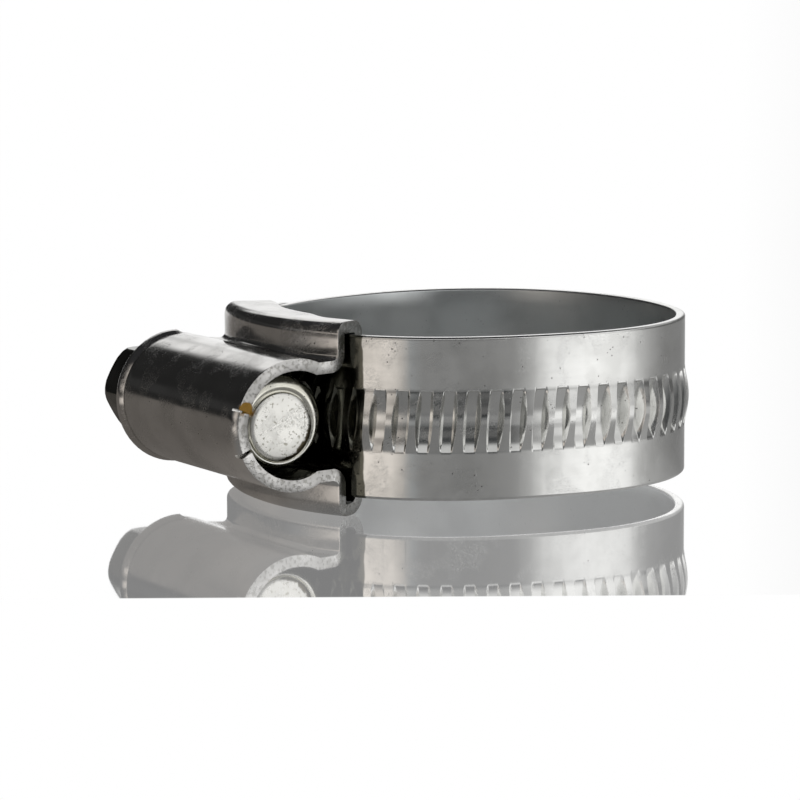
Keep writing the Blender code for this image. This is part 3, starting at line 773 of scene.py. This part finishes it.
def apart_from(tree, vector, place):
    """Distance of the vector from a fixed place."""
    node = add(tree, "ShaderNodeVectorMath", operation="DISTANCE")
    join(tree, vector, node.inputs[0])
    node.inputs[1].default_value = place
    return node.outputs["Value"]


def parts_of(tree, vector):
    node = add(tree, "ShaderNodeSeparateXYZ")
    join(tree, vector, node.inputs[0])
    return node.outputs


def stored(tree, name, output="Fac"):
    return add(tree, "ShaderNodeAttribute", attribute_name=name).outputs[output]


# %% Groups of nodes
def trace_group(name, fill):
    """A node group from a place to one value, whose nodes fill(tree, place) makes."""
    tree = bpy.data.node_groups.new(name, "ShaderNodeTree")
    tree.interface.new_socket("Vector", in_out="INPUT", socket_type="NodeSocketVector")
    tree.interface.new_socket("Value", in_out="OUTPUT", socket_type="NodeSocketFloat")
    entry, out = add(tree, "NodeGroupInput"), add(tree, "NodeGroupOutput")
    join(tree, fill(tree, entry.outputs[0]), out.inputs[0])
    print("group:", name, "nodes:", len(tree.nodes))
    return tree


def trace(tree, group, place):
    node = add(tree, "ShaderNodeGroup", node_tree=group)
    join(tree, place, node.inputs[0])
    return node.outputs[0]


# %% Traces of work
# Scales are turns of noise in a metre; where there are three, the first is along the strip.
FINE_GRAIN, COARSE_GRAIN = (260, 6500, 6500), (60, 1500, 1500)
HAIR_STRETCH = (150, 6500, 6500)
HAIR_TURNS = ((0, -29, 55), (0, -40, 30), (0, -53, 0))      # degrees
HAIR_WIDTH = 0.012


def grain_nodes(tree, place):
    fine = noise(tree, stretched(tree, place, FINE_GRAIN), 1.0, 4.0)
    coarse = noise(tree, stretched(tree, place, COARSE_GRAIN), 1.0, 2.0)
    mixed = math_node(tree, "MULTIPLY", coarse, 0.4)
    return math_node(tree, "MULTIPLY_ADD", fine, 0.6, mixed)


def scratch_nodes(tree, place):
    """Thin lines where stretched noise crosses its middle value, kept to patches."""
    patch = between(tree, noise(tree, place, 450.0, 1.0), 0.47, 0.62)
    lines = []
    for turn in HAIR_TURNS:
        fibre = noise(tree, slanted(tree, place, HAIR_STRETCH, turn), 1.0, 0.0)
        hair = math_node(tree, "ABSOLUTE", math_node(tree, "SUBTRACT", fibre, 0.5))
        lines.append(math_node(tree, "MULTIPLY", between(tree, hair, HAIR_WIDTH, 0.0), patch))
    both = math_node(tree, "MAXIMUM", lines[0], lines[1])
    return math_node(tree, "MAXIMUM", both, lines[2])


def pit_nodes(tree, place):
    cells = add(tree, "ShaderNodeTexVoronoi")
    cells.inputs["Scale"].default_value = 2600.0
    join(tree, place, cells.inputs["Vector"])
    dots = between(tree, cells.outputs["Distance"], 0.22, 0.1)
    some = between(tree, noise(tree, place, 900.0, 2.0), 0.56, 0.64)
    return math_node(tree, "MULTIPLY", dots, some)


def smudge_nodes(tree, place):
    return between(tree, noise(tree, place, 320.0, 5.0), 0.35, 0.7)


def wear_nodes(tree, place):
    rough = noise(tree, place, 2200.0, 3.0)
    amount = math_node(tree, "MULTIPLY_ADD", rough, 0.7, stored(tree, "edge"))
    return between(tree, amount, 0.55, 0.95)


GRAIN = trace_group("rolled_grain", grain_nodes)
SCRATCHES = trace_group("hairline_scratches", scratch_nodes)
PITS = trace_group("plating_pits", pit_nodes)
SMUDGES = trace_group("dull_smudges", smudge_nodes)
WEAR = trace_group("worn_edges", wear_nodes)

# %% [markdown]
# A dab of yellow-brown grease sits where the crimped tab meets the end of the worm. It is a mask of
# two balls in space with ragged edges, one on the tab and one on the worm, so it runs over both
# pieces at once. A blob of its own would need to fit both of them. The worm's end face was cut off
# and filed. A dark crescent at its lower right is painted shade from the groove beside it. That is
# all of the disc that lies outside one larger ball.

# %% Grease and crescent
# In mm: along the screw, out from its axis, and up from the band's middle.
DAB_PLACES = ((9.2, -4.45, 1.35), (6.95, -3.0, 0.92))
DAB_RADIUS = 0.64 * MM
CRESCENT_PLACE = CENTRE + Vector((END_FACE, -SCREW_REACH - 0.75 * MM, -DRIVE_DROP + 0.1 * MM))


def dab_nodes(tree, place):
    ragged = noise(tree, place, 1800.0, 3.0)
    masks = []
    for x, out, rise in DAB_PLACES:
        middle = CENTRE + Vector((x, out, rise)) * MM - Vector((0, SCREW_REACH, 0))
        apart = apart_from(tree, place, middle)
        reach = math_node(tree, "MULTIPLY_ADD", ragged, DAB_RADIUS, apart)
        masks.append(between(tree, reach, 1.6 * DAB_RADIUS, 1.3 * DAB_RADIUS))
    return math_node(tree, "MAXIMUM", *masks)


# Painted shade: the crescent at the lower right of the worm's end disc, beside the groove.
def crescent_nodes(tree, place):
    ragged = noise(tree, place, 2400.0, 3.0)
    apart = apart_from(tree, place, CRESCENT_PLACE)
    reach = math_node(tree, "MULTIPLY_ADD", ragged, 0.7 * MM, apart)
    return between(tree, reach, 3.45 * MM, 3.6 * MM)


DAB = trace_group("grease_dab", dab_nodes)
CRESCENT = trace_group("end_crescent", crescent_nodes)

# %% [markdown]
# Painted shade darkens the inside of the housing, where the housing shades its parts: the barrel's
# inside, the worm's thread and the part of the band that runs between the legs. The masks are a
# cylinder round the screw and a plane across the band, so they need no picture and no texture
# painting.

# %% Painted shade inside the housing
SHADE_RADIUS = 4.46 * MM              # just outside the barrel's bore
SHADE_ON_BORE, SHADE_ON_THREAD = 8.6 * MM, 5.9 * MM     # how far along the screw it reaches
SHADE_FADE = 0.3 * MM


# Painted shade: a dark mask inside the barrel's bore, used on the barrel and on the worm's thread.
def inside_barrel(limit):
    """Makes the nodes of a mask that is 1 in the barrel, up to this far along the screw."""
    def fill(tree, place):
        x, y, z = parts_of(tree, place)
        out = math_node(tree, "ADD", y, SCREW_REACH - CENTRE.y)
        up = math_node(tree, "ADD", z, DRIVE_DROP - CENTRE.z)
        square = math_node(tree, "MULTIPLY_ADD", up, up, math_node(tree, "MULTIPLY", out, out))
        radius = math_node(tree, "SQRT", square)
        within = between(tree, radius, SHADE_RADIUS, SHADE_RADIUS - 0.08 * MM)
        return math_node(tree, "MULTIPLY", within, between(tree, x, limit + SHADE_FADE, limit))
    return fill


# Painted shade on the band where it runs between the housing's legs.
def beside_legs(tree, place):
    x, y, z = parts_of(tree, place)
    reach = math_node(tree, "MULTIPLY_ADD", noise(tree, place, 500.0, 2.0), 0.5 * MM, x)
    beside = between(tree, reach, 9.85 * MM, 9.72 * MM)
    return math_node(tree, "MULTIPLY", beside, between(tree, y, -5.5 * MM, -6.5 * MM))


SHADE_IN_BARREL = trace_group("painted_shade_in_barrel", inside_barrel(SHADE_ON_BORE))
SHADE_ON_WORM = trace_group("painted_shade_on_worm", inside_barrel(SHADE_ON_THREAD))
SHADE_ON_BAND = trace_group("painted_shade_on_band", beside_legs)


# %% Mixing values
def mixed_color(tree, mask, under, over, share=1.0):
    """The colour under, covered by this share of the colour over where the mask is 1."""
    if share != 1.0:
        mask = math_node(tree, "MULTIPLY", mask, share)
    node = add(tree, "ShaderNodeMix", data_type="RGBA")
    join(tree, mask, node.inputs["Factor"])
    for socket, value in ((node.inputs[6], under), (node.inputs[7], over)):
        if isinstance(value, tuple):
            socket.default_value = (*value, 1)
        else:
            join(tree, value, socket)
    return node.outputs[2]


def scaled_sum(tree, base, *terms):
    """base plus each value times its weight."""
    total = base
    for value, weight in terms:
        total = math_node(tree, "MULTIPLY_ADD", value, weight, total)
    return total


def bumped(tree, height, distance):
    node = add(tree, "ShaderNodeBump")
    node.inputs["Strength"].default_value = 1.0
    node.inputs["Distance"].default_value = distance
    join(tree, height, node.inputs["Height"])
    return node.outputs[0]


# %% [markdown]
# Three places differ from the rest of their piece. The worm's end face was filed bright and has
# flecks of torn metal, the inner face of the band was dulled by hoses, and the sheared ends of the
# housing are rougher than its sides. A second material on those faces would show a hard border, so
# each is a change of colour, roughness and height within the piece's one finish.

# %% Finishes of special places
# The third colour is painted shade, for the crescent on the worm's end disc.
FILED, FLECKS, CRESCENT_SHADE = (0.93, 0.92, 0.87), (0.40, 0.38, 0.28), (0.13, 0.11, 0.07)
INNER_DULL, TORN = (0.62, 0.65, 0.66), (0.30, 0.29, 0.26)


def filed_disc(tree, here, color, rough, height):
    disc = stored(tree, "end_disc")
    fleck = between(tree, noise(tree, here, 3400.0, 6.0), 0.59, 0.68)
    fleck = math_node(tree, "MULTIPLY", fleck, disc)
    # The crescent is painted shade: it darkens the disc and presses it in a little.
    crescent_shade = math_node(tree, "MULTIPLY", trace(tree, CRESCENT, here), disc)
    color = mixed_color(tree, disc, color, FILED)
    color = mixed_color(tree, fleck, color, FLECKS, 0.6)
    color = mixed_color(tree, crescent_shade, color, CRESCENT_SHADE)
    rough = scaled_sum(tree, rough, (fleck, 0.12), (disc, 0.1))
    return color, rough, scaled_sum(tree, height, (fleck, -0.8), (crescent_shade, -1.0))


def inner_wall(tree, here, color, rough, height):
    across = parts_of(tree, stored(tree, "flat", "Vector"))[1]
    inner = between(tree, across, -0.30 * MM, -0.37 * MM)
    color = mixed_color(tree, inner, color, INNER_DULL, 0.7)
    return color, scaled_sum(tree, rough, (inner, 0.2)), height


def sheared_ends(tree, here, color, rough, height):
    cut = stored(tree, "sheared")
    torn = between(tree, noise(tree, here, 3000.0, 5.0), 0.5, 0.64)
    torn = math_node(tree, "MULTIPLY", torn, cut)
    color = mixed_color(tree, torn, color, TORN, 0.6)
    rough = scaled_sum(tree, rough, (cut, 0.14))
    return color, rough, scaled_sum(tree, height, (torn, -1.6))


# %% The plating
# The second colour is painted shade for the inside of the housing; dirt in the pits and grease are
# real.
DIRT, INSIDE_SHADE, GREASE = (0.12, 0.11, 0.10), (0.12, 0.12, 0.10), (0.50, 0.27, 0.03)
RELIEF = 0.006 * MM


def plating(name, along_strip, base, dull, bright, roughness, grain, waves, scratches, inside_shade,
            special):
    """A plated finish: base and dull are its colours, bright is that of its worn edges, and a mask
    of painted shade darkens it inside the housing.
    """
    material = bpy.data.materials.new(name)
    material.use_nodes = True
    tree = material.node_tree
    surface = tree.nodes["Principled BSDF"]
    surface.inputs["Metallic"].default_value = 1.0
    here = add(tree, "ShaderNodeTexCoord").outputs["Object"]
    grains = trace(tree, GRAIN, stored(tree, "flat", "Vector") if along_strip else here)
    hairs, pits = trace(tree, SCRATCHES, here), trace(tree, PITS, here)
    smudges, worn = trace(tree, SMUDGES, here), trace(tree, WEAR, here)
    dab, swell = trace(tree, DAB, here), noise(tree, here, 420.0, 1.0)
    color = mixed_color(tree, smudges, base, dull)
    color = mixed_color(tree, grains, color, dull, 0.5)
    color = mixed_color(tree, worn, color, bright)
    color = mixed_color(tree, hairs, color, bright, 0.5)
    color = mixed_color(tree, pits, color, DIRT, 0.6)
    rough = scaled_sum(tree, roughness, (smudges, 0.07), (grains, 0.06), (hairs, 0.15),
                       (worn, 0.12), (pits, 0.25))
    height = scaled_sum(tree, 0.0, (grains, grain), (hairs, -scratches), (pits, -0.6),
                        (swell, waves))
    # Painted shade inside the housing, a dark colour over the plating.
    color = mixed_color(tree, trace(tree, inside_shade, here), color, INSIDE_SHADE)
    color, rough, height = special(tree, here, color, rough, height)
    color = mixed_color(tree, dab, color, GREASE)
    join(tree, color, surface.inputs["Base Color"])
    join(tree, scaled_sum(tree, rough, (dab, 0.3)), surface.inputs["Roughness"])
    join(tree, math_node(tree, "SUBTRACT", 1.0, dab), surface.inputs["Metallic"])
    join(tree, bumped(tree, height, RELIEF), surface.inputs["Normal"])
    print("finish:", name, "nodes:", len(tree.nodes))
    return material


# %% Three finishes
band.data.materials.append(plating(
    "rolled_band_zinc", True, base=(0.84, 0.84, 0.82), dull=(0.70, 0.70, 0.68),
    bright=(0.93, 0.93, 0.91), roughness=0.06, grain=0.12, waves=0.8, scratches=0.25,
    inside_shade=SHADE_ON_BAND, special=inner_wall))
housing.data.materials.append(plating(
    "pressed_housing_zinc", False, base=(0.74, 0.73, 0.71), dull=(0.60, 0.59, 0.57),
    bright=(0.93, 0.92, 0.90), roughness=0.09, grain=0.05, waves=1.4, scratches=0.7,
    inside_shade=SHADE_IN_BARREL, special=sheared_ends))
screw.data.materials.append(plating(
    "turned_screw_zinc", True, base=(0.88, 0.87, 0.80), dull=(0.74, 0.72, 0.62),
    bright=(0.94, 0.93, 0.88), roughness=0.12, grain=0.25, waves=1.0, scratches=0.6,
    inside_shade=SHADE_ON_WORM, special=filed_disc))

# %% [markdown]
# ## Floor, light and camera
# The clamp lies on a glossy white plate in a studio: white behind it, a bright panel to its right,
# a smaller one to its left and darkness between them. Polished metal shows nothing but what
# surrounds it, so these zones draw the streaks along the barrel and the bands round the loop.
# Area lights could stand there instead, but a world of zones is more even, with less noise.
# Headings count from the camera, in degrees, and grow towards the right of the photograph. Each
# zone is a heading, a brightness and a tint.

# %% Zones round the clamp
VIEW_HEADING = 57.9                 # of the camera, from the housing's side towards +X
NEUTRAL, WARM, COOL = (1, 1, 1), (1.0, 0.92, 0.85), (0.92, 0.97, 1.0)


def zones(*stops):
    """A full turn of zones: white behind the clamp, and these stops on its other sides."""
    print("zones:", len(stops), "from", stops[0][0], "to", stops[-1][0], "degrees")
    return [(-180, 1.0, NEUTRAL), *stops, (180, 1.0, NEUTRAL)]


PANELS = zones(                             # low, where the band's outer face looks
    (-171, 1.0, NEUTRAL), (-166, 0.03, NEUTRAL), (-106, 0.04, NEUTRAL), (-88, 0.14, NEUTRAL),
    (-74, 0.36, WARM), (-60, 0.7, WARM), (-50, 0.8, WARM), (-33, 0.7, WARM), (-26, 0.46, WARM),
    (-20, 0.22, COOL), (-13, 0.13, NEUTRAL), (33, 0.14, NEUTRAL), (39, 0.30, NEUTRAL),
    (44, 0.72, NEUTRAL), (54, 0.93, NEUTRAL), (64, 1.0, NEUTRAL), (82, 0.84, NEUTRAL),
    (88, 0.66, NEUTRAL), (95, 0.36, NEUTRAL), (104, 0.22, NEUTRAL), (122, 0.13, NEUTRAL),
    (150, 0.11, NEUTRAL), (168, 0.2, NEUTRAL), (175, 1.0, NEUTRAL))
WALLS = zones(                              # the dark walls under and over the panels
    (-171, 1.0, NEUTRAL), (-166, 0.02, NEUTRAL), (-57, 0.02, NEUTRAL), (-50, 0.4, WARM),
    (-34, 0.3, WARM), (-22, 0.06, COOL), (30, 0.05, COOL), (44, 0.5, NEUTRAL),
    (60, 0.8, NEUTRAL), (84, 0.7, NEUTRAL), (98, 0.12, NEUTRAL), (165, 0.12, NEUTRAL),
    (175, 1.0, NEUTRAL))
HIGH_PANELS = zones(                        # high, where the top of the barrel looks
    (-158, 1.0, NEUTRAL), (-152, 0.02, NEUTRAL), (-68, 0.03, NEUTRAL), (-56, 0.6, WARM),
    (-36, 0.6, WARM), (-24, 0.62, NEUTRAL), (34, 0.62, NEUTRAL), (46, 1.0, NEUTRAL),
    (88, 1.0, NEUTRAL), (100, 0.4, NEUTRAL), (165, 0.4, NEUTRAL), (174, 1.0, NEUTRAL))
PLATE = zones(                              # the plate, as the metal sees it
    (-157, 1.0, NEUTRAL), (-144, 0.16, WARM), (-80, 0.14, WARM), (-60, 0.2, WARM),
    (-25, 0.2, NEUTRAL), (25, 0.22, NEUTRAL), (48, 0.36, NEUTRAL), (90, 0.36, NEUTRAL),
    (110, 0.2, NEUTRAL), (165, 0.2, NEUTRAL), (174, 1.0, NEUTRAL))
PLATE_SHINE = [(-180, 0.0, NEUTRAL), (-90, 0.0, NEUTRAL), (-78, 1.0, NEUTRAL),
               (165, 1.0, NEUTRAL), (176, 0.0, NEUTRAL), (180, 0.0, NEUTRAL)]


# %% Colour by heading
def zone_ramp(tree, x, y, stops):
    """Colour of a zone by the heading of the direction or place x, y."""
    heading = math_node(tree, "ARCTAN2", x, math_node(tree, "MULTIPLY", y, -1.0))
    heading = math_node(tree, "ADD", heading, math.radians(180 - VIEW_HEADING))
    turn = math_node(tree, "FRACT", math_node(tree, "DIVIDE", heading, 2 * math.pi))
    node = add(tree, "ShaderNodeValToRGB")
    elements = node.color_ramp.elements
    while len(elements) < len(stops):
        elements.new(0.5)
    for element, (angle, value, tint) in zip(elements, stops):
        element.position = (angle + 180) / 360
        element.color = (*[value * part for part in tint], 1)
    join(tree, turn, node.inputs[0])
    return node.outputs["Color"]


# %% The studio round it
CEILING = (0.03, 0.03, 0.032)
# Degrees up at which one thing passes to the next: wall, panels, wall, high panels, ceiling.
BORDERS = ((4, 5.5), (12, 13.5), (18, 22), (36, 46))


def studio_world():
    world = bpy.data.worlds.new("studio")
    bpy.context.scene.world = world
    world.use_nodes = True
    tree = world.node_tree
    x, y, z = parts_of(tree, add(tree, "ShaderNodeTexCoord").outputs["Generated"])
    walls, panels, high = [zone_ramp(tree, x, y, stops) for stops in (WALLS, PANELS, HIGH_PANELS)]
    color = walls
    for (low, top), over in zip(BORDERS, (panels, walls, high, CEILING)):
        edge = between(tree, z, math.sin(math.radians(low)), math.sin(math.radians(top)))
        color = mixed_color(tree, edge, color, over)
    seen = add(tree, "ShaderNodeLightPath").outputs["Is Camera Ray"]
    color = mixed_color(tree, seen, color, (1.0, 1.0, 1.0))
    join(tree, color, tree.nodes["Background"].inputs["Color"])
    print("studio, nodes:", len(tree.nodes))


studio_world()

# %% [markdown]
# The plate mirrors the clamp. The camera sees a bright plate with a clear mirror image, up to the
# plate's near edge. The metal sees the plate lit by the panels that stand round it, so the plate
# has a shade of its own for every heading, and a mirror's shine where it is met at a low angle.
# A real lit plate would do all of that at once, but not with so even a white behind the clamp.

# %% The glossy plate
PLATE_MIRROR = 0.79                         # how much of what the camera sees is mirror image
PLATE_GLOSS = 0.03                          # roughness
PLATE_EDGE, PLATE_BLUR = 45.9 * MM, 0.2 * MM        # from the origin towards the camera
PLATE_SIZE = 1.5
SHINE_FROM, SHINE_FULL = 19, 12             # degrees from the plate
SHINE_SHADE = 0.4                           # how much the shine takes from the lit plate
CAMERA_TURN = (81.8799, 0.3273, 59.2701)    # in degrees


def glossy(tree, color):
    node = add(tree, "ShaderNodeBsdfGlossy")
    node.inputs["Roughness"].default_value = PLATE_GLOSS
    if isinstance(color, tuple):
        node.inputs["Color"].default_value = color
    else:
        join(tree, color, node.inputs["Color"])
    return node.outputs[0]


def seen_plate(tree, x, y):
    """What the camera sees: white, and a mirror image up to the plate's edge."""
    heading = math.radians(CAMERA_TURN[2])
    ahead = math_node(tree, "MULTIPLY", x, math.sin(heading))
    ahead = math_node(tree, "MULTIPLY_ADD", y, -math.cos(heading), ahead)
    on_plate = between(tree, ahead, PLATE_EDGE + PLATE_BLUR, PLATE_EDGE - PLATE_BLUR)
    mix = add(tree, "ShaderNodeMixShader")
    join(tree, math_node(tree, "MULTIPLY", on_plate, PLATE_MIRROR), mix.inputs[0])
    join(tree, add(tree, "ShaderNodeEmission").outputs[0], mix.inputs[1])
    join(tree, glossy(tree, (1, 1, 1, 1)), mix.inputs[2])
    return mix.outputs[0]


def lit_plate(tree, x, y):
    """What the metal sees: the plate's shade for each heading, and a shine at low angles."""
    facing = add(tree, "ShaderNodeLayerWeight").outputs["Facing"]
    grazing = between(tree, facing, *[1 - math.sin(math.radians(a))
                                      for a in (SHINE_FROM, SHINE_FULL)])
    shine = math_node(tree, "MULTIPLY", grazing, zone_ramp(tree, x, y, PLATE_SHINE))
    lit = add(tree, "ShaderNodeEmission")
    join(tree, zone_ramp(tree, x, y, PLATE), lit.inputs["Color"])
    join(tree, math_node(tree, "MULTIPLY_ADD", shine, -SHINE_SHADE, 1.0), lit.inputs["Strength"])
    both = add(tree, "ShaderNodeAddShader")
    join(tree, lit.outputs[0], both.inputs[0])
    join(tree, glossy(tree, shine), both.inputs[1])
    return both.outputs[0]


def plate_finish():
    material = bpy.data.materials.new("white_plate")
    material.use_nodes = True
    tree = material.node_tree
    tree.nodes.clear()
    x, y, z = parts_of(tree, add(tree, "ShaderNodeTexCoord").outputs["Object"])
    final = add(tree, "ShaderNodeMixShader")
    join(tree, add(tree, "ShaderNodeLightPath").outputs["Is Camera Ray"], final.inputs[0])
    join(tree, lit_plate(tree, x, y), final.inputs[1])
    join(tree, seen_plate(tree, x, y), final.inputs[2])
    output = add(tree, "ShaderNodeOutputMaterial")
    join(tree, final.outputs[0], output.inputs["Surface"])
    print("plate, nodes:", len(tree.nodes))
    return material


bm = bmesh.new()
bmesh.ops.create_grid(bm, x_segments=1, y_segments=1, size=PLATE_SIZE)
floor = make_piece("floor", bm)
floor.data.materials.append(plate_finish())

# %% [markdown]
# The camera stands a little above the plate and looks at the clamp nearly level, through a long
# lens, as for a catalogue. Its place, turn and lens were found from the photograph by matching the
# pockets, the rims and the barrel, with the band taken as 13 mm wide.

# %% Camera
LENS, SENSOR = 155.46, 36                   # in mm, as Blender counts them
CAMERA_PLACE = Vector((243.143, -146.193, 47.865)) * MM

camera_data = bpy.data.cameras.new("camera")
camera_data.lens, camera_data.sensor_width = LENS, SENSOR
camera_data.clip_start, camera_data.clip_end = 0.01, 20
camera = bpy.data.objects.new("camera", camera_data)
bpy.context.scene.collection.objects.link(camera)
camera.location = CAMERA_PLACE
camera.rotation_euler = Euler([math.radians(a) for a in CAMERA_TURN])
bpy.context.scene.camera = camera
bpy.context.scene.view_settings.view_transform = "Standard"
print("camera, mm from the clamp:", round(CAMERA_PLACE.length / MM))
